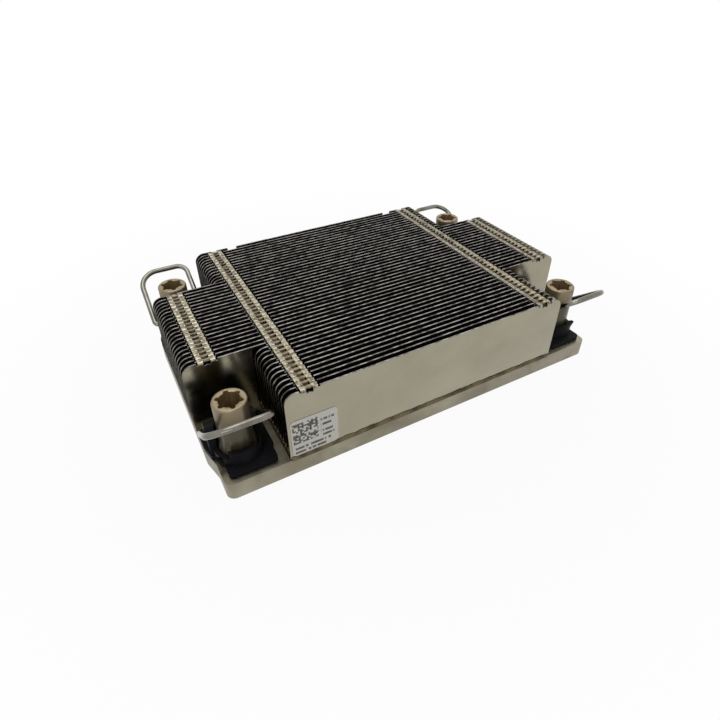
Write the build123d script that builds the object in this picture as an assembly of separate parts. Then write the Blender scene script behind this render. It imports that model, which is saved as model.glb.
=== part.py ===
"""Low passive heatsink for a server processor.

A flat base plate carries a row of 45 thin sheet fins that lock together at their top edges.
The middle 21 fins are longer and form two ears. In each corner beside an ear stand a captive
nut with a six-lobe socket, a moulded bracket round its foot, and a swinging wire bail.

Frame: millimetres. The origin is the centre of the flat underside, +Z is up, X runs along the
fins and Y runs across them. The face with the label looks towards -Y.
"""

import os
from math import sqrt

from build123d import *

# Pattern of the board's threaded studs
stud_span_x = 104.8
stud_span_y = 58.8

# Base plate
base_thickness = 5.0
base_end_margin = 6.4
base_side_margin = 9.5
base_corner_radius = 2.2
tongue_reach = 1.4
tongue_slope_start = 7.5
tongue_slope_end = 13.5

# Fins
sink_height = 25.8
fin_sheet = 0.4
short_fin_count = 12
long_fin_count = 21
fin_corner_radius = 2.8
fin_side_rim = 0.2
fin_end_rim = 0.1
block_end_lane = 3.9

# Locks between the fins, one row of them per band
block_band_inset = 6.45
ear_band_inset = 6.4
lock_flap_width = 4.3
lock_window_width = 1.4
lock_window_depth = 1.4
lock_window_reach = 0.95
lock_tongue_width = 1.0
lock_tongue_reach = 1.1
lock_tongue_clearance = 0.03
end_notch_inset = 12.5
end_notch_width = 3.0
end_notch_depth = 1.6

# Captive nuts
nut_top = 22.4
nut_barrel_radius = 4.2
nut_skirt_radius = 4.8
nut_skirt_top = 11.8
nut_spigot_radius = 3.2
nut_foot_gap = 0.4
nut_thread_radius = 1.9
nut_thread_depth = 12.0
socket_depth = 6.0
socket_radius = 3.35
socket_waist_radius = 2.6
socket_lobe_radius = 0.65
running_clearance = 0.06

# Retaining rings under the plate
ring_thickness = 0.8
ring_radius = 4.6
ring_groove_radius = 2.6
ring_gap_width = 3.2
ring_pocket_depth = 1.7
ring_pocket_clearance = 0.3

# Moulded brackets
bracket_half_width = 6.0
bracket_outer_width = 4.8
bracket_front = 7.9
bracket_back_clearance = 2.0
bracket_flange = 1.4
bracket_corner_radius = 1.2
bracket_lug_reach = 1.4
bracket_lug_length = 5.6
cheek_wall = 1.4
cheek_foot_spread = 0.9
cup_wall = 0.95
cup_clearance = 0.25
cup_height = 3.4
hood_height = 5.4
hood_half_width = 3.4
horn_height = 3.6
horn_width = 1.0
horn_lean = 1.7
peg_length = 2.4
peg_width = 1.2
peg_depth = 3.6
peg_clearance = 0.05

# Wire bails
wire_radius = 0.8
bail_reach = 19.0
bail_hinge_back = 3.4
bail_hinge_height = 7.0
bail_inner_bend = 3.0
bail_outer_bend = 5.6
bail_foot_bend = 1.1
bail_side_clearance = 0.1
bail_edge_clearance = 0.6
bail_hinge_clearance = 0.05
bail_front_lean = 50.0
bail_rear_lean = 60.0

# Label on the front fin
label_width = 12.3
label_height = 11.5
label_sheet = 0.15
label_corner_radius = 1.0
label_side_margin = 0.7
label_foot_margin = 1.0

# Places that follow from the driving dimensions
nut_x = stud_span_x / 2
nut_y = stud_span_y / 2
corner_half_length = nut_x + base_end_margin
tongue_half_length = corner_half_length + tongue_reach
base_half_width = nut_y + base_side_margin
block_half_length = nut_x - bracket_half_width - block_end_lane
ear_half_length = tongue_half_length - fin_end_rim
fin_count = 2 * short_fin_count + long_fin_count
first_fin_y = fin_side_rim + fin_sheet / 2 - base_half_width
fin_pitch = -2 * first_fin_y / (fin_count - 1)
ear_half_width = fin_pitch * (long_fin_count - 1) / 2 + fin_sheet / 2
block_band_x = block_half_length - block_band_inset
ear_band_x = ear_half_length - ear_band_inset
end_notch_x = block_half_length - end_notch_inset
cup_bore_radius = nut_skirt_radius + cup_clearance
cup_radius = cup_bore_radius + cup_wall
hinge_y = nut_y - bail_hinge_back
hinge_z = base_thickness + bail_hinge_height
hinge_hole_radius = wire_radius + bail_hinge_clearance
cheek_radius = hinge_hole_radius + cheek_wall
cheek_top = hinge_z + cheek_radius
cheek_foot_front = hinge_y + cheek_radius + cheek_foot_spread
bail_inner_x = nut_x - bracket_half_width - wire_radius - bail_side_clearance
bail_outer_x = corner_half_length + wire_radius + bail_edge_clearance
bracket_back = ear_half_width + bracket_back_clearance
peg_y = bracket_back + peg_width
ring_low = nut_foot_gap + (ring_pocket_depth - nut_foot_gap - ring_thickness) / 2
ring_high = ring_low + ring_thickness

corner_signs = {
    "front_left": (-1, -1),
    "front_right": (1, -1),
    "rear_left": (-1, 1),
    "rear_right": (1, 1),
}


def save(shape, name):
    """Write one sub-part to its own file."""
    shape.label = name
    export_step(shape, f"parts/{name}.step")


def block(x_range, y_range, z_range):
    """Return a box that spans three ranges."""
    size = [high - low for low, high in (x_range, y_range, z_range)]
    centre = [(high + low) / 2 for low, high in (x_range, y_range, z_range)]
    return Pos(*centre) * Box(*size)


def disc(radius, z_low, z_high, x=0.0, y=0.0):
    """Return an upright cylinder between two heights."""
    return Pos(x, y, (z_low + z_high) / 2) * Cylinder(radius, z_high - z_low)


def to_corner(shape, corner):
    """Mirror a piece of the rear right corner into another corner."""
    sign_x, sign_y = corner_signs[corner]
    if sign_x < 0:
        shape = mirror(shape, about=Plane.YZ)
    if sign_y < 0:
        shape = mirror(shape, about=Plane.XZ)
    return shape


def fin_bands(is_long):
    """Return the X places of the lock bands on one fin."""
    bands = [-block_band_x, block_band_x]
    if is_long:
        bands += [-ear_band_x, ear_band_x]
    return bands


def fin_plate(half_length, notches):
    """Return the upright sheet of a fin, standing at Y = 0."""
    height = sink_height - base_thickness
    with BuildSketch(Plane.XZ) as outline:
        with Locations((0, base_thickness + height / 2)):
            Rectangle(2 * half_length, height)
        top_corners = outline.vertices().group_by(Axis.Z)[-1]
        fillet(top_corners, fin_corner_radius)
        if notches:
            with Locations([(x, sink_height) for x in notches]):
                Rectangle(end_notch_width, 2 * end_notch_depth, mode=Mode.SUBTRACT)
    return extrude(outline.sketch, fin_sheet / 2, both=True)


def lock_flap(band):
    """Return the flap at the top of a fin, folded back as far as the next fin."""
    x_range = (band - lock_flap_width / 2, band + lock_flap_width / 2)
    return block(x_range, (0, fin_pitch - fin_sheet / 2), (sink_height - fin_sheet, sink_height))


def lock_tongue(band):
    """Return the flap's tongue, which dips through the next window and under the next flap."""
    root_y = fin_pitch - fin_sheet / 2
    tip_y = root_y + lock_tongue_reach
    slope = (fin_sheet + lock_tongue_clearance) / lock_window_reach
    tip_top = sink_height - slope * lock_tongue_reach
    with BuildSketch(Plane.YZ) as side_view:
        with BuildLine():
            Polyline(
                (root_y, sink_height - fin_sheet),
                (tip_y, tip_top - fin_sheet),
                (tip_y, tip_top),
                (root_y, sink_height),
                close=True,
            )
        make_face()
    return Pos(band, 0, 0) * extrude(side_view.sketch, lock_tongue_width / 2, both=True)


def lock_window(band):
    """Return the cut that opens a fin's fold for the tongue of the fin before it."""
    front = -fin_sheet / 2
    x_range = (band - lock_window_width / 2, band + lock_window_width / 2)
    z_range = (sink_height - lock_window_depth, sink_height)
    return block(x_range, (front, front + lock_window_reach), z_range)


def make_fin(half_length, joined_half_length, is_last):
    """Return one fin at Y = 0, with its foot and the locks that reach back to the next fin."""
    notches = [-end_notch_x, end_notch_x] if is_last else []
    fin = fin_plate(half_length, notches)
    if not is_last:
        foot_y = (0, fin_pitch - fin_sheet / 2)
        foot_z = (base_thickness, base_thickness + fin_sheet)
        additions = [block((-joined_half_length, joined_half_length), foot_y, foot_z)]
        for band in fin_bands(joined_half_length > block_half_length):
            additions += [lock_flap(band), lock_tongue(band)]
        fin += additions
    windows = [lock_window(band) for band in fin_bands(half_length > block_half_length)]
    return fin - windows


def make_fins():
    """Return the row of fins, front to back, with each kind of fin made once."""
    short_run = [block_half_length] * short_fin_count
    half_lengths = short_run + [ear_half_length] * long_fin_count + short_run
    kinds = {}
    fins = []
    for index, half_length in enumerate(half_lengths):
        is_last = index == fin_count - 1
        joined_half_length = half_length if is_last else min(half_length, half_lengths[index + 1])
        kind = (half_length, joined_half_length, is_last)
        if kind not in kinds:
            kinds[kind] = make_fin(*kind)
        fins.append(Pos(0, first_fin_y + index * fin_pitch, 0) * kinds[kind])
    return fins


def plate_outline():
    """Return the base plate's outline, with its two tongues under the ears."""
    slope_start = ear_half_width + tongue_slope_start
    slope_end = ear_half_width + tongue_slope_end
    with BuildSketch() as outline:
        Rectangle(2 * corner_half_length, 2 * base_half_width)
        fillet(outline.vertices(), base_corner_radius)
        with BuildLine():
            Polyline(
                (tongue_half_length, -slope_start),
                (tongue_half_length, slope_start),
                (corner_half_length, slope_end),
                (-corner_half_length, slope_end),
                (-tongue_half_length, slope_start),
                (-tongue_half_length, -slope_start),
                (-corner_half_length, -slope_end),
                (corner_half_length, -slope_end),
                close=True,
            )
        make_face()
    return outline.sketch


def make_base_plate():
    """Return the base plate with the nut holes, ring pockets and bracket slots."""
    plate = extrude(plate_outline(), base_thickness)
    hole_radius = nut_spigot_radius + running_clearance
    pocket_radius = ring_radius + ring_pocket_clearance
    for corner in corner_signs:
        cutters = [
            disc(hole_radius, 0, base_thickness, nut_x, nut_y),
            disc(pocket_radius, 0, ring_pocket_depth, nut_x, nut_y),
            *bracket_pegs(peg_clearance, base_thickness),
        ]
        for cutter in cutters:
            plate -= to_corner(cutter, corner)
    return plate


def bracket_pegs(clearance, depth):
    """Return the bracket's two pegs, or the slots for them when a clearance is given."""
    pegs = []
    for side in (-1, 1):
        x = nut_x + side * (bracket_half_width - peg_length)
        x_range = (x - peg_length / 2 - clearance, x + peg_length / 2 + clearance)
        y_range = (peg_y - peg_width / 2 - clearance, peg_y + peg_width / 2 + clearance)
        pegs.append(block(x_range, y_range, (base_thickness - depth, base_thickness)))
    return pegs


def bracket_cheek(x_inner, x_outer):
    """Return one upright cheek, wide at its foot and rounded about the bail's hinge line."""
    front, back = hinge_y + cheek_radius, hinge_y - cheek_radius
    with BuildSketch(Plane.YZ) as side_view:
        with BuildLine():
            Polyline(
                (front, hinge_z),
                (cheek_foot_front, base_thickness),
                (bracket_back, base_thickness),
                (back, hinge_z),
            )
            ThreePointArc((back, hinge_z), (hinge_y, cheek_top), (front, hinge_z))
        make_face()
    return Pos(x_inner, 0, 0) * extrude(side_view.sketch, x_outer - x_inner)


def bracket_horn():
    """Return the small leaning tooth in front of the outer cheek."""
    foot_z = base_thickness + bracket_flange / 2
    tip_z = base_thickness + horn_height
    outer_x = nut_x + bracket_outer_width
    horn_y = nut_y + cup_radius / 2
    with BuildSketch(Plane.XZ) as front_view:
        with BuildLine():
            Polyline(
                (outer_x - 2 * horn_width, foot_z),
                (outer_x, foot_z),
                (outer_x + horn_lean, tip_z),
                (outer_x + horn_lean - horn_width / 2, tip_z),
                close=True,
            )
        make_face()
    horn = extrude(front_view.sketch, horn_width / 2, both=True)
    return Pos(0, horn_y, 0) * horn


def make_bracket(corner):
    """Return the moulded bracket: flange with its wing, cup, cheeks, horn and pegs."""
    front = nut_y + bracket_front
    inner = nut_x - bracket_half_width
    outer = nut_x + bracket_outer_width
    lug_back = front - bracket_lug_length
    with BuildSketch(Plane.XY.offset(base_thickness)) as footprint:
        with BuildLine():
            Polyline(
                (inner, bracket_back),
                (ear_half_length, bracket_back),
                (ear_half_length, cheek_foot_front),
                (outer, cheek_foot_front),
                (outer, front),
                (inner - bracket_lug_reach, front),
                (inner - bracket_lug_reach, lug_back),
                (inner, lug_back),
                close=True,
            )
        make_face()
        rows = footprint.vertices().group_by(Axis.Y)
        fillet(rows[0] + rows[-1], bracket_corner_radius)
    wing_limit = Pos(0, 0, base_thickness) * extrude(plate_outline(), bracket_flange)
    bracket = extrude(footprint.sketch, bracket_flange) & wing_limit
    cup_top = base_thickness + cup_height
    bracket += disc(cup_radius, base_thickness, cup_top, nut_x, nut_y)
    hood_x = (nut_x - hood_half_width, nut_x + hood_half_width)
    hood_y = (nut_y, nut_y + cup_radius)
    hood_z = (base_thickness, base_thickness + hood_height)
    bracket += disc(cup_radius, *hood_z, nut_x, nut_y) & block(hood_x, hood_y, hood_z)
    cheek_offset = sqrt(cup_bore_radius**2 - bail_hinge_back**2)
    bracket += bracket_cheek(bail_inner_x + bail_foot_bend, nut_x - cheek_offset)
    bracket += bracket_cheek(nut_x + cheek_offset, bail_outer_x - bail_foot_bend)
    bracket += bracket_horn()
    for peg in bracket_pegs(0, peg_depth):
        bracket += peg
    bracket -= disc(cup_bore_radius, base_thickness, cheek_top, nut_x, nut_y)
    hinge_hole = Rotation(0, 90, 0) * Cylinder(hinge_hole_radius, bail_outer_x - bail_inner_x)
    bracket -= Pos((bail_inner_x + bail_outer_x) / 2, hinge_y, hinge_z) * hinge_hole
    return to_corner(bracket, corner)


def socket_outline():
    """Return the six-lobe outline of the nut's socket, with one lobe towards -Y."""
    with BuildSketch() as outline:
        Circle(socket_waist_radius)
        with PolarLocations(socket_radius - socket_lobe_radius, 6, start_angle=-90):
            Circle(socket_lobe_radius)
    return outline.sketch


def make_nut(corner):
    """Return one captive nut: turned body with a ring groove, socket and thread bore."""
    flange_z = base_thickness + running_clearance
    with BuildSketch(Plane.XZ) as section:
        with BuildLine():
            Polyline(
                (0, nut_foot_gap),
                (nut_spigot_radius, nut_foot_gap),
                (nut_spigot_radius, ring_low),
                (ring_groove_radius, ring_low),
                (ring_groove_radius, ring_high),
                (nut_spigot_radius, ring_high),
                (nut_spigot_radius, flange_z),
                (nut_skirt_radius, flange_z),
                (nut_skirt_radius, nut_skirt_top),
                (nut_barrel_radius, nut_skirt_top),
                (nut_barrel_radius, nut_top),
                (0, nut_top),
                close=True,
            )
        make_face()
    nut = revolve(section.sketch, Axis.Z)
    nut -= Pos(0, 0, nut_top - socket_depth) * extrude(socket_outline(), socket_depth)
    nut -= disc(nut_thread_radius, nut_foot_gap, nut_foot_gap + nut_thread_depth)
    sign_x, sign_y = corner_signs[corner]
    return Pos(sign_x * nut_x, sign_y * nut_y, 0) * nut


def make_retaining_ring(corner):
    """Return the open ring that holds one nut in the plate."""
    low = ring_low + running_clearance
    high = ring_high - running_clearance
    ring = disc(ring_radius, low, high) - disc(ring_groove_radius + running_clearance, low, high)
    gap_half = ring_gap_width / 2
    ring -= block((-gap_half, gap_half), (0, ring_radius), (low, high))
    return to_corner(Pos(nut_x, nut_y, 0) * ring, corner)


def make_bail(corner):
    """Return one wire bail, leaning outwards about its hinge line."""
    lean = bail_front_lean if corner.startswith("front") else bail_rear_lean
    foot_reach = sqrt(cup_bore_radius**2 - (bail_hinge_back - wire_radius) ** 2)
    inner_end = nut_x - foot_reach
    outer_end = nut_x + foot_reach
    corners = [
        (inner_end, 0),
        (bail_inner_x, 0),
        (bail_inner_x, bail_reach),
        (bail_outer_x, bail_reach),
        (bail_outer_x, 0),
        (outer_end, 0),
    ]
    radii = [bail_foot_bend, bail_inner_bend, bail_outer_bend, bail_foot_bend]
    route = FilletPolyline(*[(x, 0, z) for x, z in corners], radius=radii)
    section = Plane(origin=route @ 0, z_dir=route % 0) * Circle(wire_radius)
    wire = sweep(section, path=route)
    wire = Pos(0, hinge_y, hinge_z) * Rotation(-lean, 0, 0) * wire
    return to_corner(wire, corner)


def make_label():
    """Return the paper label on the front face of the first fin."""
    face_y = first_fin_y - fin_sheet / 2
    centre_x = label_side_margin + label_width / 2 - block_half_length
    centre_z = base_thickness + label_foot_margin + label_height / 2
    with BuildSketch(Plane.XZ) as outline:
        with Locations((centre_x, centre_z)):
            RectangleRounded(label_width, label_height, label_corner_radius)
    return Pos(0, face_y, 0) * extrude(outline.sketch, label_sheet)


def main():
    os.makedirs("parts", exist_ok=True)
    save(make_base_plate(), "base_plate")
    for number, fin in enumerate(make_fins(), start=1):
        save(fin, f"fin_{number:02d}")
    for corner in corner_signs:
        save(make_nut(corner), f"captive_nut_{corner}")
        save(make_bracket(corner), f"bracket_{corner}")
        save(make_bail(corner), f"bail_{corner}")
    rings = [make_retaining_ring(corner) for corner in corner_signs]
    save(Compound(children=rings), "retaining_rings")
    save(make_label(), "label")


main()
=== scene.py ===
import math

import bmesh
import bpy
from mathutils import Euler, Matrix, Vector, noise


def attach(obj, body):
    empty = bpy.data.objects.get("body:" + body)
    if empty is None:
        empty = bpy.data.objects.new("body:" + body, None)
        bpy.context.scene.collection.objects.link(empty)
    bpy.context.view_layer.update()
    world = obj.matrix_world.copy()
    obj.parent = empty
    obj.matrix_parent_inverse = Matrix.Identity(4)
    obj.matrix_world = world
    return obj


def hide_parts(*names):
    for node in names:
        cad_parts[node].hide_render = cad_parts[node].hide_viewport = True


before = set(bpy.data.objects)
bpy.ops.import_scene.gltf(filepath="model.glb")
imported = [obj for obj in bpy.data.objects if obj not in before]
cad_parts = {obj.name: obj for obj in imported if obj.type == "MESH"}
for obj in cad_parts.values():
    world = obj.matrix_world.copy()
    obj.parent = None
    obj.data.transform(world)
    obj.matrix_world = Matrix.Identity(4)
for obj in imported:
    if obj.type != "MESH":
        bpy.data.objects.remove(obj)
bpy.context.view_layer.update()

# Metres in a millimetre, and three distances in millimetres: one past every edge, one within
# which two places count as the same, and one within which points are merged
MM = 0.001
FAR = 99
NEAR = 0.01
MERGE = 0.0005

# Sizes in millimetres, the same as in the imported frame
NUT_X = 52.4
NUT_Y = 29.4
PLATE_TOP = 5.0
FIN_TOP = 25.8
FIN_SHEET = 0.4
FIN_PITCH = 1.75
FIRST_FIN_Y = -38.5
FRONT_FACE_Y = FIRST_FIN_Y - FIN_SHEET / 2
SHORT_FINS = 12
LONG_FINS = 21
SHORT_HALF = 42.5
LONG_HALF = 60.1
FIN_CORNER = 2.8
BLOCK_BAND = 36.05
EAR_BAND = 53.7
FLAP_HALF = 2.15
END_NOTCH_X = 30.0
END_NOTCH_HALF = 1.5
END_NOTCH_DEPTH = 1.6
WIRE_RADIUS = 0.8
BAIL_REACH = 19.0
BAIL_INNER_X = 45.5
BAIL_OUTER_X = 60.2
BAIL_FOOT_BEND = 1.1
BAIL_INNER_BEND = 3.0
BAIL_OUTER_BEND = 5.6
HINGE_Y = 26.0
HINGE_Z = 12.0
FRONT_LEAN = 50.0
REAR_LEAN = 60.0
CUP_BORE_RADIUS = 5.05
FOOT_EDGE_BACK = 2.6
THREAD_CORE = 1.9
SOCKET_FLOOR = 16.4
SOCKET_RADIUS = 3.35
SOCKET_WAIST = 2.6
SOCKET_LOBE_CENTRE = 2.7
SOCKET_LOBE_RADIUS = 0.65
LABEL_X = -35.65
LABEL_Z = 11.75
LABEL_SIZE = (12.3, 0.15, 11.5)
LABEL_CORNER = 1.0

# Sizes in millimetres of the fine detail that only this scene has
FOLD_RADIUS = 0.4
WINDOW_HALF = 0.9
WINDOW_DEPTH = 1.2
WINDOW_REACH = 0.5
FLAP_GAP = 0.16
RAMP_DROP = 0.3
RAMP_START = 0.3
TONGUE_HALF = 0.55
TONGUE_REACH = 1.1
TONGUE_DROP = 0.6
TOOTH_RISE = 0.3
SLIT_WIDTH = 0.45
SLIT_DEPTH = 0.7
THREAD_ROOT = 2.12
THREAD_PITCH = 0.7
THREAD_TOP = 12.4
THREAD_BOTTOM = 1.4
FACET_DEPTH = 0.04
FACET_LOW = 5.1
FACET_HIGH = 15.0
FACET_FADE_TOP = 16.0
FACET_FADE = 6.0
BEAD_WIDTH = 0.3
BEAD_HEIGHT = 0.8
BEAD_LIFT = 0.12
BEAD_CREST = 0.15
BEAD_END_GAP = 0.6
BEAD_SWELLS = ((0.22, 0.55, 7), (0.12, 2.1, 3))
SIDE_STRIP_SIZE = (2.4, 11.6, 1.35)
SIDE_STRIP_X = 45.6
SIDE_STRIP_Y = 26.2

CORNERS = {
    "front_left": (-1, -1),
    "front_right": (1, -1),
    "rear_left": (-1, 1),
    "rear_right": (1, 1),
}


# ---------------------------------------------------------------- making pieces

def to_piece(bm, name, body, finishes, replaced=(), smooth_angle=35.0):
    """Turn a shape drawn in millimetres into a finished piece on its body."""
    bmesh.ops.scale(bm, vec=(MM, MM, MM), verts=bm.verts)
    mesh = bpy.data.meshes.new(name)
    bm.to_mesh(mesh)
    bm.free()
    for finish in finishes:
        mesh.materials.append(finish)
    mesh.shade_smooth()
    mesh.set_sharp_from_angle(angle=math.radians(smooth_angle))
    piece = bpy.data.objects.new(name, mesh)
    bpy.context.scene.collection.objects.link(piece)
    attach(piece, body)
    if replaced:
        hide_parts(*replaced)
    return piece


def soft_edges(piece, width, segments=2, angle=32.0):
    """Round the piece's hard edges by a small width in millimetres."""
    bevel = piece.modifiers.new("soft_edges", "BEVEL")
    bevel.width = width * MM
    bevel.segments = segments
    bevel.limit_method = "ANGLE"
    bevel.angle_limit = math.radians(angle)
    bevel.harden_normals = True


def node_copy(node):
    """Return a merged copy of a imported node, in millimetres, with its flat faces whole."""
    bm = bmesh.new()
    bm.from_mesh(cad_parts[node].data)
    bmesh.ops.scale(bm, vec=(1 / MM, 1 / MM, 1 / MM), verts=bm.verts)
    bmesh.ops.remove_doubles(bm, verts=bm.verts, dist=MERGE)
    bmesh.ops.recalc_face_normals(bm, faces=bm.faces)
    bmesh.ops.dissolve_limit(bm, angle_limit=math.radians(1.0), verts=bm.verts, edges=bm.edges)
    return bm


def turn(bm, degrees, axis):
    """Turn a whole shape about an axis through the origin."""
    matrix = Matrix.Rotation(math.radians(degrees), 3, axis)
    bmesh.ops.rotate(bm, cent=(0, 0, 0), matrix=matrix, verts=bm.verts)


def box(size, middle):
    """Return a box of some size about a middle point."""
    bm = bmesh.new()
    bmesh.ops.create_cube(bm, size=1)
    bmesh.ops.scale(bm, vec=size, verts=bm.verts)
    bmesh.ops.translate(bm, vec=middle, verts=bm.verts)
    return bm


def to_corner(bm, corner):
    """Mirror a shape drawn at the rear right into another corner."""
    sign_x, sign_y = CORNERS[corner]
    bmesh.ops.scale(bm, vec=(sign_x, sign_y, 1), verts=bm.verts)
    if sign_x * sign_y < 0:
        bmesh.ops.reverse_faces(bm, faces=bm.faces)


def draw_out(bm, edges, step):
    """Draw a strip of sheet out from some edges and return its leading edges."""
    grown = bmesh.ops.extrude_edge_only(bm, edges=edges)["geom"]
    verts = [part for part in grown if isinstance(part, bmesh.types.BMVert)]
    bmesh.ops.translate(bm, vec=step, verts=verts)
    return [part for part in grown if isinstance(part, bmesh.types.BMEdge)
            and part.verts[0] in verts and part.verts[1] in verts]


# ---------------------------------------------------------------- stamped fins

def slice_faces(bm, faces, point, normal):
    """Cut through some of the sheet's faces along a plane."""
    parts = set(faces)
    for face in faces:
        parts.update(face.edges)
        parts.update(face.verts)
    bmesh.ops.bisect_plane(bm, geom=list(parts), dist=1e-4, plane_co=point, plane_no=normal)


def window(bm, x_low, x_high, z_low, z_high):
    """Return the upright faces of the sheet that lie inside a window of X and Z."""
    return [face for face in bm.faces if abs(face.normal.y) > 0.99
            and x_low < face.calc_center_bounds().x < x_high
            and z_low < face.calc_center_bounds().z < z_high]


def open_column(bm, x_low, x_high, floor):
    """Cut a notch down from the top of the sheet and return the edge at its floor."""
    strip_floor = FIN_TOP - FIN_CORNER
    for x in (x_low, x_high):
        slice_faces(bm, window(bm, -FAR, FAR, strip_floor, FAR), (x, 0, 0), (1, 0, 0))
    slice_faces(bm, window(bm, x_low, x_high, strip_floor, FAR), (0, 0, floor), (0, 0, 1))
    bmesh.ops.delete(bm, geom=window(bm, x_low, x_high, floor, FAR), context="FACES")
    return level_edges(bm, x_low, x_high, floor)


def level_edges(bm, x_low, x_high, height, back=0.0):
    """Return the open edges of the sheet at one height and depth between two X places."""
    found = []
    for edge in bm.edges:
        ends = [vert.co for vert in edge.verts]
        is_level = all(abs(end.z - height) < NEAR and abs(end.y - back) < NEAR for end in ends)
        is_between = all(x_low - NEAR < end.x < x_high + NEAR for end in ends)
        if edge.is_boundary and is_level and is_between:
            found.append(edge)
    return found


def fold_back(bm, edges, side, runs):
    """Fold a strip over backwards, up with a side of 1 or down with -1, and run it back."""
    bend_steps = 3
    for index in range(bend_steps):
        start = math.radians(90 * index / bend_steps)
        end = math.radians(90 * (index + 1) / bend_steps)
        back = FOLD_RADIUS * (math.cos(start) - math.cos(end))
        rise = FOLD_RADIUS * (math.sin(end) - math.sin(start))
        edges = draw_out(bm, edges, (0, back, side * rise))
    for run in runs:
        edges = draw_out(bm, edges, (0, run, 0))


def stamp_window(bm, band):
    """Stamp the window of one lock, with the small tooth in the middle of its floor."""
    floor = FIN_TOP - WINDOW_DEPTH
    ledge = open_column(bm, band - WINDOW_HALF, band + WINDOW_HALF, floor)
    for part in bmesh.ops.subdivide_edges(bm, edges=ledge, cuts=3)["geom_inner"]:
        if isinstance(part, bmesh.types.BMVert) and abs(part.co.x - band) < 0.1:
            part.co.z += TOOTH_RISE


def stamp_flap(bm, band):
    """Fold back the flap of one lock, with its relief slits, ramp and tongue."""
    level = FIN_TOP - FIN_SHEET / 2
    flap_end = FIN_PITCH - FIN_SHEET / 2 - FLAP_GAP
    for side in (-1, 1):
        near = band + side * WINDOW_HALF
        far = band + side * FLAP_HALF
        slit = far + side * SLIT_WIDTH
        open_column(bm, min(far, slit), max(far, slit), FIN_TOP - SLIT_DEPTH)
        root = open_column(bm, min(near, far), max(near, far), level - FOLD_RADIUS)
        fold_back(bm, root, 1, [WINDOW_REACH - FOLD_RADIUS, flap_end - WINDOW_REACH])
    inner = [edge for edge in bm.edges if edge.is_boundary
             and all(abs(vert.co.z - level) < NEAR and vert.co.y > WINDOW_REACH - NEAR
                     and abs(abs(vert.co.x - band) - WINDOW_HALF) < NEAR
                     for vert in edge.verts)]
    bmesh.ops.contextual_create(bm, geom=inner)
    for x in (band - TONGUE_HALF, band + TONGUE_HALF):
        middle = [face for face in bm.faces if face.normal.z ** 2 > 0.9
                  and abs(face.calc_center_bounds().x - band) < WINDOW_HALF]
        slice_faces(bm, middle, (x, 0, 0), (1, 0, 0))
    for vert in bm.verts:
        if abs(abs(vert.co.x - band) - TONGUE_HALF) < NEAR and vert.co.y > WINDOW_REACH - NEAR:
            vert.co.z -= RAMP_DROP * (1 if vert.co.y > flap_end - NEAR else RAMP_START)
    tongue = level_edges(bm, band - TONGUE_HALF, band + TONGUE_HALF, level - RAMP_DROP, flap_end)
    draw_out(bm, tongue, (0, TONGUE_REACH + FLAP_GAP, RAMP_DROP - TONGUE_DROP))


def stamp_fin(half, joined_half, is_last):
    """Return one fin at Y = 0 as a thin folded surface: sheet, foot and locks."""
    bm = bmesh.new()
    bmesh.ops.create_grid(bm, x_segments=1, y_segments=1, size=0.5)
    turn(bm, 90, "X")
    bmesh.ops.scale(bm, vec=(2 * half, 1, FIN_TOP - PLATE_TOP), verts=bm.verts)
    bmesh.ops.translate(bm, vec=(0, 0, (FIN_TOP + PLATE_TOP) / 2), verts=bm.verts)
    top_corners = [vert for vert in bm.verts if vert.co.z > FIN_TOP - NEAR]
    bmesh.ops.bevel(bm, geom=top_corners, offset=FIN_CORNER, offset_type="OFFSET", segments=8,
                    profile=0.5, affect="VERTICES", material=-1)
    slice_faces(bm, bm.faces, (0, 0, FIN_TOP - FIN_CORNER), (0, 0, 1))
    bands = [-BLOCK_BAND, BLOCK_BAND]
    if half > SHORT_HALF:
        bands += [-EAR_BAND, EAR_BAND]
    for band in bands:
        stamp_window(bm, band)
        if not is_last and abs(band) < joined_half:
            stamp_flap(bm, band)
    if is_last:
        for x in (-END_NOTCH_X, END_NOTCH_X):
            open_column(bm, x - END_NOTCH_HALF, x + END_NOTCH_HALF, FIN_TOP - END_NOTCH_DEPTH)
        return bm
    foot_root = PLATE_TOP + FIN_SHEET / 2 + FOLD_RADIUS
    slice_faces(bm, window(bm, -FAR, FAR, 0, FIN_TOP - FIN_CORNER), (0, 0, foot_root), (0, 0, 1))
    if joined_half < half:
        for x in (-joined_half, joined_half):
            slice_faces(bm, window(bm, -FAR, FAR, 0, foot_root), (x, 0, 0), (1, 0, 0))
    below = window(bm, -joined_half, joined_half, 0, foot_root)
    bmesh.ops.delete(bm, geom=below, context="FACES")
    foot = level_edges(bm, -joined_half, joined_half, foot_root)
    fold_back(bm, foot, -1, [FIN_PITCH - FIN_SHEET / 2 - FOLD_RADIUS])
    return bm


def thickened(bm, thickness):
    """Give a folded surface the thickness of its sheet, half to each side."""
    surface = bpy.data.meshes.new("folded_surface")
    bm.to_mesh(surface)
    bm.free()
    pattern = bpy.data.objects.new("folded_surface", surface)
    surface.materials.append(None)
    surface.materials.append(None)
    bpy.context.scene.collection.objects.link(pattern)
    wall = pattern.modifiers.new("sheet_thickness", "SOLIDIFY")
    wall.thickness = thickness
    wall.offset = 0
    wall.use_even_offset = True
    wall.material_offset_rim = 1
    bpy.context.view_layer.update()
    solid = bmesh.new()
    solid.from_object(pattern, bpy.context.evaluated_depsgraph_get())
    bpy.data.objects.remove(pattern)
    return solid


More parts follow.
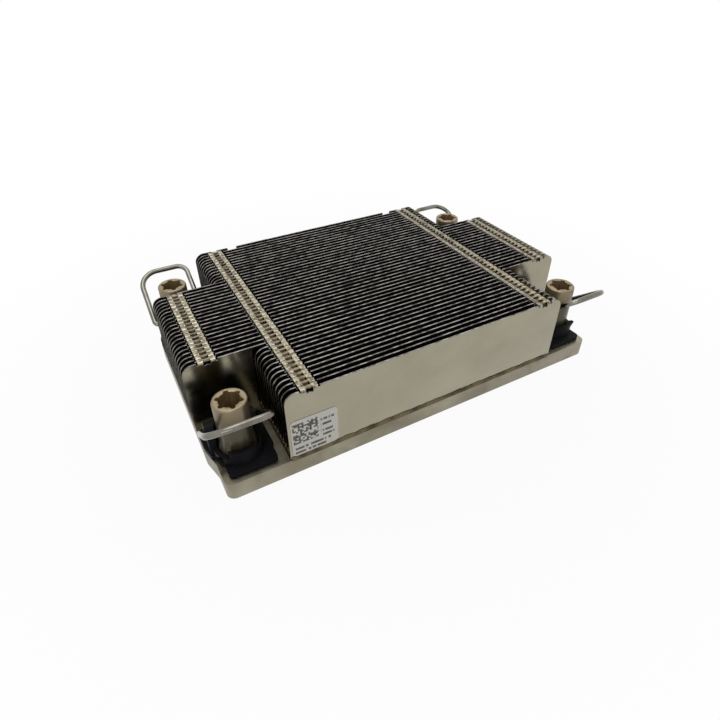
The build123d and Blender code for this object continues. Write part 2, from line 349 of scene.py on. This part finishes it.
def make_fins(finishes):
    """Make the row of fins, front to back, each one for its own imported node."""
    runs = [SHORT_HALF] * SHORT_FINS + [LONG_HALF] * LONG_FINS + [SHORT_HALF] * SHORT_FINS
    kinds = {}
    for index, half in enumerate(runs):
        is_last = index == len(runs) - 1
        joined_half = half if is_last else min(half, runs[index + 1])
        kind = (half, joined_half, is_last)
        if kind not in kinds:
            surface = stamp_fin(*kind)
            bmesh.ops.recalc_face_normals(surface, faces=surface.faces)
            kinds[kind] = thickened(surface, FIN_SHEET)
        bm = kinds[kind].copy()
        bmesh.ops.translate(bm, vec=(0, FIRST_FIN_Y + index * FIN_PITCH, 0), verts=bm.verts)
        number = f"{index + 1:02d}"
        to_piece(bm, f"stamped_fin_{number}", "heatsink", finishes, [f"fin_{number}"])


def swell(x, side, face_y):
    """Return how far a solder bead's crest rises or falls at a place along it."""
    return sum(height * noise.noise(Vector((x * closeness, side * seed, face_y)))
               for height, closeness, seed in BEAD_SWELLS)


def make_solder(finish):
    """Make the uneven beads of solder along the feet of the fins that face outwards."""
    ear_y = FRONT_FACE_Y + SHORT_FINS * FIN_PITCH
    ear_middle = (SHORT_HALF + LONG_HALF) / 2
    ear_length = LONG_HALF - SHORT_HALF
    # Each bead: its name, middle across, length, the front face it lies on, and front or rear
    runs = [
        ("solder_front", 0, 2 * SHORT_HALF, FRONT_FACE_Y, -1),
        ("solder_rear", 0, 2 * SHORT_HALF, FRONT_FACE_Y, 1),
        ("solder_ear_front_left", -ear_middle, ear_length, ear_y, -1),
        ("solder_ear_front_right", ear_middle, ear_length, ear_y, -1),
        ("solder_ear_rear_left", -ear_middle, ear_length, ear_y, 1),
        ("solder_ear_rear_right", ear_middle, ear_length, ear_y, 1),
    ]
    for name, middle, length, face_y, side in runs:
        bm = bmesh.new()
        bmesh.ops.create_cone(bm, cap_ends=True, segments=10, radius1=1, radius2=1, depth=1)
        turn(bm, 90, "Y")
        long_edges = [edge for edge in bm.edges
                      if abs(edge.verts[0].co.x - edge.verts[1].co.x) > 0.5]
        bmesh.ops.subdivide_edges(bm, edges=long_edges, cuts=int(length), use_grid_fill=False)
        bead_size = (length - BEAD_END_GAP, BEAD_WIDTH, BEAD_HEIGHT)
        bmesh.ops.scale(bm, vec=bead_size, verts=bm.verts)
        bead_middle = (middle, side * abs(face_y), PLATE_TOP + BEAD_LIFT)
        bmesh.ops.translate(bm, vec=bead_middle, verts=bm.verts)
        for vert in bm.verts:
            if vert.co.z > PLATE_TOP + BEAD_CREST:
                vert.co.z += swell(vert.co.x, side, face_y)
        to_piece(bm, name, "heatsink", [finish], smooth_angle=60)


# ---------------------------------------------------------------- captive nuts

def spun(points, steps):
    """Spin a profile of (radius, height) points into a closed shape round the Z axis."""
    bm = bmesh.new()
    verts = [bm.verts.new((radius, 0, height)) for radius, height in points]
    edges = [bm.edges.new(pair) for pair in zip(verts, verts[1:])]
    bmesh.ops.spin(bm, geom=verts + edges, cent=(0, 0, 0), axis=(0, 0, 1), dvec=(0, 0, 0),
                   angle=math.tau, steps=steps, use_merge=True)
    bmesh.ops.remove_doubles(bm, verts=bm.verts, dist=MERGE)
    bmesh.ops.recalc_face_normals(bm, faces=bm.faces)
    return bm


def lobed_radius(angle):
    """Return the socket's radius at an angle: a round waist with six round lobes."""
    half_step = math.radians(30)
    offset = (angle + math.radians(90) + half_step) % (2 * half_step) - half_step
    reach = SOCKET_LOBE_RADIUS ** 2 - (SOCKET_LOBE_CENTRE * math.sin(offset)) ** 2
    if reach <= 0:
        return SOCKET_WAIST
    return max(SOCKET_WAIST, SOCKET_LOBE_CENTRE * math.cos(offset) + math.sqrt(reach))


def nut_profile():
    """Return the nut's (radius, height) points, up the bore and down the outside to the socket."""
    thread = [(0, THREAD_TOP + 1), (THREAD_CORE, THREAD_TOP)]
    height = THREAD_TOP
    while height > THREAD_BOTTOM:
        thread += [(THREAD_ROOT, height - 0.25), (THREAD_CORE, height - 0.5),
                   (THREAD_CORE, height - THREAD_PITCH)]
        height -= THREAD_PITCH
    spigot = [(THREAD_CORE, 0.75), (2.2, 0.4), (2.95, 0.4), (3.2, 0.6), (3.2, 0.65)]
    ring_groove = [(2.6, 0.65), (2.6, 1.45), (3.2, 1.45), (3.2, 5.06)]
    skirt = [(4.65, 5.06), (4.8, 5.25), (4.8, 7.6), (4.72, 8.4), (4.55, 9.3), (4.38, 10.2),
             (4.26, 11.1)]
    barrel = [(4.2, 12.2), (4.2, 14.5), (4.2, 21.9)]
    rim = [(4.12, 22.2), (3.9, 22.37), (3.75, 22.4), (3.5, 22.4), (3.39, 22.32)]
    socket = [(SOCKET_RADIUS, 22.15), (SOCKET_RADIUS, SOCKET_FLOOR + 0.2), (3.15, SOCKET_FLOOR),
              (0, SOCKET_FLOOR - 0.3)]
    return thread + spigot + ring_groove + skirt + barrel + rim + socket


def make_nut(corner, finishes):
    """Make one captive nut: skirted barrel, six-lobe socket, ring groove and threaded bore."""
    bm = spun(nut_profile(), 72)
    for vert in bm.verts:
        radius = vert.co.xy.length
        angle = math.atan2(vert.co.y, vert.co.x)
        in_lobes = vert.co.z > SOCKET_FLOOR - 0.1 and 2.5 < radius < 3.6
        on_facets = FACET_LOW < vert.co.z < FACET_HIGH and radius > 4.15
        if in_lobes:
            vert.co.xy *= (lobed_radius(angle) + radius - SOCKET_RADIUS) / radius
        if on_facets:
            facet = 1 - abs(math.cos(6 * angle))
            fade = min(1, (FACET_FADE_TOP - vert.co.z) / FACET_FADE)
            vert.co.xy *= 1 - FACET_DEPTH * facet * fade
    # The socket and bore faces take the second finish, which paints shade into these recesses.
    for face in bm.faces:
        centre = face.calc_center_median()
        radius = centre.xy.length
        in_socket = SOCKET_FLOOR - 0.5 < centre.z < 22.3 and radius < 3.37
        in_bore = centre.z < 13.5 and radius < 2.15
        if in_socket or in_bore:
            face.material_index = 1
    sign_x, sign_y = CORNERS[corner]
    bmesh.ops.translate(bm, vec=(sign_x * NUT_X, sign_y * NUT_Y, 0), verts=bm.verts)
    to_piece(bm, f"moulded_nut_{corner}", f"nut_{corner}", finishes,
             [f"captive_nut_{corner}"], smooth_angle=40)


# ---------------------------------------------------------------- brackets

def make_bracket(corner, finish):
    """Make one moulded bracket with the low side strip that runs back beside the fins."""
    bm = box(SIDE_STRIP_SIZE, (SIDE_STRIP_X, SIDE_STRIP_Y, PLATE_TOP + SIDE_STRIP_SIZE[2] / 2))
    to_corner(bm, corner)
    strip = to_piece(bm, f"bracket_side_strip_{corner}", "heatsink", [finish])
    soft_edges(strip, 0.15)
    bracket = to_piece(node_copy(f"bracket_{corner}"), f"moulded_bracket_{corner}", "heatsink",
                       [finish], [f"bracket_{corner}"])
    soft_edges(bracket, 0.12)


# ---------------------------------------------------------------- wire bails

def bend(bm, ring, x, z, degrees, steps):
    """Turn a ring of edges round a bend about an XZ centre and return the ring at its end."""
    verts = {vert for edge in ring for vert in edge.verts}
    turned = bmesh.ops.spin(bm, geom=list(verts) + list(ring), cent=(x, 0, z), axis=(0, 1, 0),
                            dvec=(0, 0, 0), angle=math.radians(degrees), steps=steps,
                            use_merge=False)["geom_last"]
    return [part for part in turned if isinstance(part, bmesh.types.BMEdge)]


def make_bail(corner, finish):
    """Make one wire bail: two turned-in feet, two legs and a crossbar with round bends."""
    lean = FRONT_LEAN if corner.startswith("front") else REAR_LEAN
    foot_x = math.sqrt(CUP_BORE_RADIUS ** 2 - FOOT_EDGE_BACK ** 2)
    inner_foot_x = BAIL_INNER_X + BAIL_FOOT_BEND
    outer_foot_x = BAIL_OUTER_X - BAIL_FOOT_BEND
    inner_bend_x = BAIL_INNER_X + BAIL_INNER_BEND
    outer_bend_x = BAIL_OUTER_X - BAIL_OUTER_BEND
    bm = bmesh.new()
    bmesh.ops.create_circle(bm, cap_ends=True, segments=16, radius=WIRE_RADIUS)
    turn(bm, 90, "Y")
    bmesh.ops.translate(bm, vec=(NUT_X - foot_x, 0, 0), verts=bm.verts)
    ring = draw_out(bm, list(bm.edges), (inner_foot_x - NUT_X + foot_x, 0, 0))
    ring = bend(bm, ring, inner_foot_x, BAIL_FOOT_BEND, 90, 6)
    ring = draw_out(bm, ring, (0, 0, BAIL_REACH - BAIL_FOOT_BEND - BAIL_INNER_BEND))
    ring = bend(bm, ring, inner_bend_x, BAIL_REACH - BAIL_INNER_BEND, 90, 10)
    ring = draw_out(bm, ring, (outer_bend_x - inner_bend_x, 0, 0))
    ring = bend(bm, ring, outer_bend_x, BAIL_REACH - BAIL_OUTER_BEND, 90, 14)
    ring = draw_out(bm, ring, (0, 0, BAIL_FOOT_BEND + BAIL_OUTER_BEND - BAIL_REACH))
    ring = bend(bm, ring, outer_foot_x, BAIL_FOOT_BEND, 90, 6)
    ring = draw_out(bm, ring, (NUT_X + foot_x - outer_foot_x, 0, 0))
    bmesh.ops.contextual_create(bm, geom=ring)
    bmesh.ops.recalc_face_normals(bm, faces=bm.faces)
    turn(bm, -lean, "X")
    bmesh.ops.translate(bm, vec=(0, HINGE_Y, HINGE_Z), verts=bm.verts)
    to_corner(bm, corner)
    to_piece(bm, f"bent_wire_{corner}", f"wire_{corner}", [finish],
             [f"bail_{corner}"], smooth_angle=50)


# ---------------------------------------------------------------- label

def make_label(finish):
    """Make the paper label with rounded corners on the face of the first fin."""
    bm = box(LABEL_SIZE, (LABEL_X, FRONT_FACE_Y - LABEL_SIZE[1] / 2, LABEL_Z))
    corners = [edge for edge in bm.edges if abs(edge.verts[0].co.y - edge.verts[1].co.y) > 0.1]
    bmesh.ops.bevel(bm, geom=corners, offset=LABEL_CORNER, offset_type="OFFSET", segments=6,
                    profile=0.5, affect="EDGES", material=-1)
    label = to_piece(bm, "paper_label", "heatsink", [finish], ["label"])
    soft_edges(label, 0.04, 1)


# ---------------------------------------------------------------- nodes for finishes

def new_finish(name):
    """Return a material with its node tree, its surface shader and its Object coordinates."""
    finish = bpy.data.materials.new(name)
    finish.use_nodes = True
    tree = finish.node_tree
    place = tree.nodes.new("ShaderNodeTexCoord").outputs["Object"]
    return finish, tree, tree.nodes["Principled BSDF"], place


def feed(tree, socket, source):
    """Link a node's input to an output, or set it to a number or a colour."""
    if isinstance(source, bpy.types.NodeSocket):
        tree.links.new(source, socket)
    elif isinstance(source, tuple):
        socket.default_value = (*source, 1)
    else:
        socket.default_value = source


def calculate(tree, operation, *sources):
    """Return the result of one operation on one, two or three values."""
    node = tree.nodes.new("ShaderNodeMath")
    node.operation = operation
    for socket, source in zip(node.inputs, sources):
        feed(tree, socket, source)
    return node.outputs["Value"]


def along(tree, place, axis):
    """Return the X, Y or Z of some coordinates."""
    axes = tree.nodes.new("ShaderNodeSeparateXYZ")
    tree.links.new(place, axes.inputs["Vector"])
    return axes.outputs[axis]


def stretched(tree, place, scale):
    """Return coordinates scaled along each axis."""
    mapping = tree.nodes.new("ShaderNodeMapping")
    mapping.inputs["Scale"].default_value = scale
    tree.links.new(place, mapping.inputs["Vector"])
    return mapping.outputs["Vector"]


def grain(tree, place, scale, detail, stretch=(1, 1, 1)):
    """Return a noise value on stretched Object coordinates."""
    texture = tree.nodes.new("ShaderNodeTexNoise")
    texture.inputs["Scale"].default_value = scale
    texture.inputs["Detail"].default_value = detail
    texture.inputs["Roughness"].default_value = 0.55
    tree.links.new(stretched(tree, place, stretch), texture.inputs["Vector"])
    return texture.outputs["Fac"]


def ramp(tree, value, first, second, low=0.3, high=0.7):
    """Return a colour that runs from a first to a second one as a value rises."""
    colours = tree.nodes.new("ShaderNodeValToRGB")
    elements = colours.color_ramp.elements
    for element, position, colour in zip(elements, (low, high), (first, second)):
        element.position = position
        element.color = (*colour, 1)
    tree.links.new(value, colours.inputs["Fac"])
    return colours.outputs["Color"]


def spread(tree, value, low, high, from_low=0.3, from_high=0.7):
    """Return a value moved from one range into another."""
    mapped = tree.nodes.new("ShaderNodeMapRange")
    mapped.inputs["From Min"].default_value = from_low
    mapped.inputs["From Max"].default_value = from_high
    mapped.inputs["To Min"].default_value = low
    mapped.inputs["To Max"].default_value = high
    tree.links.new(value, mapped.inputs["Value"])
    return mapped.outputs["Result"]


def mixed(tree, factor, first, second):
    """Return the mix of two colours by a factor."""
    mix = tree.nodes.new("ShaderNodeMix")
    mix.data_type = "RGBA"
    sources = {("Factor", "VALUE"): factor, ("A", "RGBA"): first, ("B", "RGBA"): second}
    for socket in mix.inputs:
        if (socket.name, socket.type) in sources:
            feed(tree, socket, sources[socket.name, socket.type])
    return next(item for item in mix.outputs if item.type == "RGBA")


def bump(tree, shader, height, distance, strength):
    """Raise and lower the surface by a height value, over a distance in millimetres."""
    relief = tree.nodes.new("ShaderNodeBump")
    relief.inputs["Strength"].default_value = strength
    relief.inputs["Distance"].default_value = distance * MM
    tree.links.new(height, relief.inputs["Height"])
    tree.links.new(relief.outputs["Normal"], shader.inputs["Normal"])


def band_mask(tree, value, centre, half):
    """Return 1 where a value is within half of a centre, in millimetres, and 0 elsewhere."""
    return calculate(tree, "COMPARE", value, centre * MM, half * MM)


def lock_mask(tree, place, half, depth):
    """Return 1 near the fins' top within half of the middle of a row of locks, else 0."""
    across = calculate(tree, "ABSOLUTE", along(tree, place, "X"))
    in_rows = calculate(tree, "MAXIMUM", band_mask(tree, across, BLOCK_BAND, half),
                        band_mask(tree, across, EAR_BAND, half))
    on_top = band_mask(tree, along(tree, place, "Z"), FIN_TOP, depth)
    return calculate(tree, "MULTIPLY", in_rows, on_top)


def random_cells(tree, place, width, height, threshold):
    """Return 1 or 0 at random for each cell of a grid on the label, in millimetres."""
    snap = tree.nodes.new("ShaderNodeVectorMath")
    snap.operation = "FLOOR"
    cells = stretched(tree, place, (1 / (width * MM), 0, 1 / (height * MM)))
    tree.links.new(cells, snap.inputs[0])
    chance = tree.nodes.new("ShaderNodeTexWhiteNoise")
    tree.links.new(snap.outputs["Vector"], chance.inputs["Vector"])
    return calculate(tree, "GREATER_THAN", chance.outputs["Value"], threshold)


def seen_rays(tree):
    """Return 1 for rays from the camera, a reflection or a transmission, and 0 for others."""
    path = tree.nodes.new("ShaderNodeLightPath").outputs
    second_hand = calculate(tree, "MAXIMUM", path["Is Glossy Ray"], path["Is Transmission Ray"])
    return calculate(tree, "MAXIMUM", path["Is Camera Ray"], second_hand)


def dress(tree, shader, colour, metallic, roughness, relief, distance, strength):
    """Give the surface its colour, metal share, roughness and fine relief."""
    feed(tree, shader.inputs["Base Color"], colour)
    shader.inputs["Metallic"].default_value = metallic
    feed(tree, shader.inputs["Roughness"], roughness)
    bump(tree, shader, relief, distance, strength)


# ---------------------------------------------------------------- finishes

def nickel_sheet():
    """Plated fin sheet: warm satin metal with rolling lines, olive painted shade in the lock
    windows, and dark brown mottling on the lock folds.
    """
    finish, tree, shader, place = new_finish("nickel_plated_sheet")
    lines = grain(tree, place, 900, 3, (0.08, 1, 1))
    clouds = grain(tree, place, 60, 5, (1, 2, 1.4))
    specks = spread(tree, grain(tree, place, 700, 2), 0, 0.35, 0.66, 0.78)
    dark_fold_mottling = spread(tree, grain(tree, place, 1000, 4), 0, 0.85, 0.46, 0.6)
    colour = ramp(tree, clouds, (0.29, 0.265, 0.195), (0.345, 0.32, 0.24))
    colour = mixed(tree, specks, colour, (0.23, 0.20, 0.145))
    # Painted shade: an olive tint over the lock windows and tongues near the fins' top.
    colour = mixed(tree, lock_mask(tree, place, WINDOW_HALF, 0.85), colour, (0.32, 0.25, 0.14))
    # Dark brown mottling over the lock folds near the fins' top.
    on_folds = calculate(tree, "MULTIPLY", dark_fold_mottling, lock_mask(tree, place, FLAP_HALF, 0.7))
    colour = mixed(tree, on_folds, colour, (0.10, 0.08, 0.05))
    dress(tree, shader, colour, 1.0, spread(tree, lines, 0.13, 0.22), lines, 0.004, 0.5)
    return finish


def sheared_edge():
    """Sheared edges of the fin sheet: rough and mottled, and dark low down as painted shade."""
    finish, tree, shader, place = new_finish("sheared_sheet_edge")
    lines = grain(tree, place, 800, 4, (0.7, 1, 1))
    high = ramp(tree, lines, (0.055, 0.051, 0.049), (0.33, 0.31, 0.295), 0.38, 0.62)
    # Painted shade: below the top corners the edge colour fades to near black further down the
    # fins.
    height = spread(tree, along(tree, place, "Z"), 0, 1, 0.017, 0.0245)
    colour = mixed(tree, height, (0.022, 0.019, 0.015), high)
    dress(tree, shader, colour, 1.0, spread(tree, lines, 0.4, 0.6), lines, 0.01, 0.6)
    return finish


def milled_plate():
    """Plated base plate: greyer, rougher metal with fine milling lines and handling marks."""
    finish, tree, shader, place = new_finish("milled_plated_plate")
    lines = grain(tree, place, 700, 4, (0.06, 1, 0.5))
    clouds = grain(tree, place, 45, 6)
    marks = spread(tree, grain(tree, place, 170, 5), 0, 0.7, 0.55, 0.75)
    colour = ramp(tree, clouds, (0.165, 0.146, 0.102), (0.365, 0.334, 0.258), 0.28, 0.72)
    colour = mixed(tree, marks, colour, (0.17, 0.145, 0.105))
    dress(tree, shader, colour, 1.0, spread(tree, lines, 0.34, 0.5), lines, 0.01, 0.6)
    return finish


def solder_metal():
    """Dull brown solder with flux residue."""
    finish, tree, shader, place = new_finish("dull_solder")
    clouds = grain(tree, place, 260, 5)
    colour = ramp(tree, clouds, (0.05, 0.04, 0.019), (0.17, 0.136, 0.068), 0.40, 0.60)
    dress(tree, shader, colour, 0.7, spread(tree, clouds, 0.4, 0.7), clouds, 0.06, 0.7)
    return finish


def nut_metal(is_socket):
    """Plated metal of the nuts: beige above, darker and olive low down as painted shade, and brown
    in the socket as painted shade of the recess.
    """
    name = "nut_socket_metal" if is_socket else "plated_nut_metal"
    finish, tree, shader, place = new_finish(name)
    clouds = grain(tree, place, 170, 4)
    fine = grain(tree, place, 1500, 3)
    # Painted shade: the socket and bore take a browner tone for their shaded recess.
    if is_socket:
        colour = ramp(tree, clouds, (0.26, 0.185, 0.09), (0.36, 0.27, 0.15))
    else:
        # Painted shade: the barrel turns dark olive towards its foot, from 22.6 mm down to 15.5 mm.
        height = spread(tree, along(tree, place, "Z"), 0, 1, 0.0155, 0.0226)
        low = ramp(tree, clouds, (0.062, 0.054, 0.031), (0.098, 0.085, 0.05))
        high = ramp(tree, clouds, (0.26, 0.205, 0.12), (0.335, 0.27, 0.16))
        colour = mixed(tree, height, low, high)
    dress(tree, shader, colour, 0.5, spread(tree, fine, 0.28, 0.38), fine, 0.006, 0.3)
    return finish


def bracket_plastic():
    """Near-black moulded plastic with a fine spark-eroded grain."""
    finish, tree, shader, place = new_finish("black_moulded_plastic")
    fine = grain(tree, place, 2200, 3)
    clouds = grain(tree, place, 120, 3)
    colour = ramp(tree, clouds, (0.003, 0.003, 0.004), (0.008, 0.008, 0.010))
    shader.inputs["Specular IOR Level"].default_value = 0.09
    dress(tree, shader, colour, 0.0, spread(tree, fine, 0.45, 0.65), fine, 0.02, 0.5)
    return finish


def bright_wire():
    """Bright drawn steel wire with faint draw marks."""
    finish, tree, shader, place = new_finish("bright_drawn_wire")
    clouds = grain(tree, place, 300, 4)
    fine = grain(tree, place, 1800, 3)
    colour = ramp(tree, clouds, (0.14, 0.133, 0.113), (0.23, 0.219, 0.187))
    dress(tree, shader, colour, 1.0, spread(tree, fine, 0.16, 0.3), fine, 0.004, 0.5)
    return finish


def dark_spring_steel():
    """Plain dark spring steel of the retaining rings."""
    finish, tree, shader, place = new_finish("dark_spring_steel")
    clouds = grain(tree, place, 400, 4)
    colour = ramp(tree, clouds, (0.16, 0.155, 0.15), (0.25, 0.245, 0.235))
    dress(tree, shader, colour, 1.0, spread(tree, clouds, 0.28, 0.42), clouds, 0.01, 0.4)
    return finish


def label_paper():
    """Pale paper label with a block of plain squares and rows of short dark bars."""
    finish, tree, shader, place = new_finish("printed_paper_label")
    fibres = grain(tree, place, 1500, 4)
    paper = ramp(tree, fibres, (0.84, 0.82, 0.74), (0.90, 0.88, 0.80))
    across, up = along(tree, place, "X"), along(tree, place, "Z")
    block = calculate(tree, "MULTIPLY", band_mask(tree, across, -38.1, 3.3),
                      band_mask(tree, up, 13.2, 3.3))
    ink = calculate(tree, "MULTIPLY", random_cells(tree, place, 0.5, 0.5, 0.4), block)
    bars = random_cells(tree, place, 0.34, 1.45, 0.22)
    # Each row of bars: its middle across, half its width, and its height, in millimetres
    rows = [(-32.3, 1.8, 15.1), (-32.7, 1.4, 13.4), (-32.5, 1.6, 11.3), (-32.2, 1.8, 9.9),
            (-36.2, 4.9, 8.3), (-37.0, 4.2, 6.95)]
    for middle, half, height in rows:
        row = calculate(tree, "MULTIPLY", band_mask(tree, across, middle, half),
                        band_mask(tree, up, height, 0.36))
        ink = calculate(tree, "MAXIMUM", ink, calculate(tree, "MULTIPLY", row, bars))
    worn = calculate(tree, "MULTIPLY", ink, spread(tree, fibres, 0.75, 1.0))
    colour = mixed(tree, worn, paper, (0.04, 0.038, 0.034))
    shader.inputs["Specular IOR Level"].default_value = 0.3
    dress(tree, shader, colour, 0.0, 0.5, fibres, 0.01, 0.4)
    return finish


# ---------------------------------------------------------------- camera, floor and light

def make_camera():
    """Set the camera at the photograph's place, angle and lens."""
    camera_data = bpy.data.cameras.new("photo_camera")
    camera_data.sensor_width = 36
    camera_data.lens = 26.038
    camera_data.shift_x = -0.00988
    camera_data.shift_y = -0.03369
    camera_data.clip_start = 0.005
    camera = bpy.data.objects.new("photo_camera", camera_data)
    camera.location = (-0.067518, -0.121614, 0.104852)
    angles = (53.7627, 0.0384, -29.1962)
    camera.rotation_euler = Euler([math.radians(angle) for angle in angles])
    bpy.context.scene.collection.objects.link(camera)
    bpy.context.scene.camera = camera


def make_floor():
    """Lay the pale floor, which keeps a soft shadow near the object and fades to white."""
    bm = bmesh.new()
    bmesh.ops.create_circle(bm, cap_ends=True, segments=96, radius=6000)
    bmesh.ops.scale(bm, vec=(MM, MM, MM), verts=bm.verts)
    bmesh.ops.translate(bm, vec=(0, 0, -0.0001), verts=bm.verts)
    mesh = bpy.data.meshes.new("pale_floor")
    bm.to_mesh(mesh)
    bm.free()
    floor = bpy.data.objects.new("pale_floor", mesh)
    bpy.context.scene.collection.objects.link(floor)
    finish, tree, shader, place = new_finish("pale_floor")
    shader.inputs["Base Color"].default_value = (0.55, 0.55, 0.54, 1)
    shader.inputs["Roughness"].default_value = 0.9
    shader.inputs["Specular IOR Level"].default_value = 0.1
    white = tree.nodes.new("ShaderNodeEmission")
    distance = tree.nodes.new("ShaderNodeVectorMath")
    distance.operation = "LENGTH"
    tree.links.new(place, distance.inputs[0])
    fade = spread(tree, distance.outputs["Value"], 0.95, 1.0, 0.06, 0.15)
    both = tree.nodes.new("ShaderNodeMixShader")
    tree.links.new(calculate(tree, "MULTIPLY", fade, seen_rays(tree)), both.inputs["Fac"])
    tree.links.new(shader.outputs["BSDF"], both.inputs[1])
    tree.links.new(white.outputs["Emission"], both.inputs[2])
    tree.links.new(both.outputs["Shader"], tree.nodes["Material Output"].inputs["Surface"])
    mesh.materials.append(finish)


def make_world():
    """Surround the scene with white that lights softly and shows behind and in reflections."""
    world = bpy.data.worlds.new("white_surround")
    bpy.context.scene.world = world
    world.use_nodes = True
    tree = world.node_tree
    backdrop = tree.nodes["Background"]
    backdrop.inputs["Color"].default_value = (1, 1, 1, 1)
    soft_light = 0.24
    feed(tree, backdrop.inputs["Strength"], calculate(tree, "MAXIMUM", seen_rays(tree), soft_light))


def make_lamp(name, place, width, height, power):
    """Hang one soft rectangular lamp, in millimetres, that faces the heatsink."""
    lamp_data = bpy.data.lights.new(name, "AREA")
    lamp_data.shape = "RECTANGLE"
    lamp_data.size = width * MM
    lamp_data.size_y = height * MM
    lamp_data.energy = power
    lamp = bpy.data.objects.new(name, lamp_data)
    lamp.location = Vector(place) * MM
    aim = (Vector((0, 0, 10)) - Vector(place)).to_track_quat("-Z", "Y")
    lamp.rotation_euler = aim.to_euler()
    bpy.context.scene.collection.objects.link(lamp)


def make_studio():
    """Set the view, camera, floor, surround and lamps."""
    bpy.context.scene.view_settings.view_transform = "Standard"
    make_camera()
    make_floor()
    make_world()
    make_lamp("rear_softbox", (200, 360, 440), 560, 260, 0.36)
    make_lamp("top_softbox", (-60, 60, 560), 360, 360, 1.1)
    make_lamp("front_fill", (-260, -480, 260), 400, 300, 0.55)


# ---------------------------------------------------------------- the whole heatsink

def main():
    """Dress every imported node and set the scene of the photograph."""
    fin_metals = [nickel_sheet(), sheared_edge()]
    plate = milled_plate()
    nut_metals = [nut_metal(False), nut_metal(True)]
    plastic = bracket_plastic()
    wire = bright_wire()
    make_fins(fin_metals)
    make_solder(solder_metal())
    make_label(label_paper())
    base = to_piece(node_copy("base_plate"), "milled_base", "heatsink", [plate],
                    ["base_plate"])
    soft_edges(base, 0.25)
    for corner in CORNERS:
        make_nut(corner, nut_metals)
        make_bail(corner, wire)
        make_bracket(corner, plastic)
    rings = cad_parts["retaining_rings"]
    rings.data.materials.clear()
    rings.data.materials.append(dark_spring_steel())
    make_studio()


main()
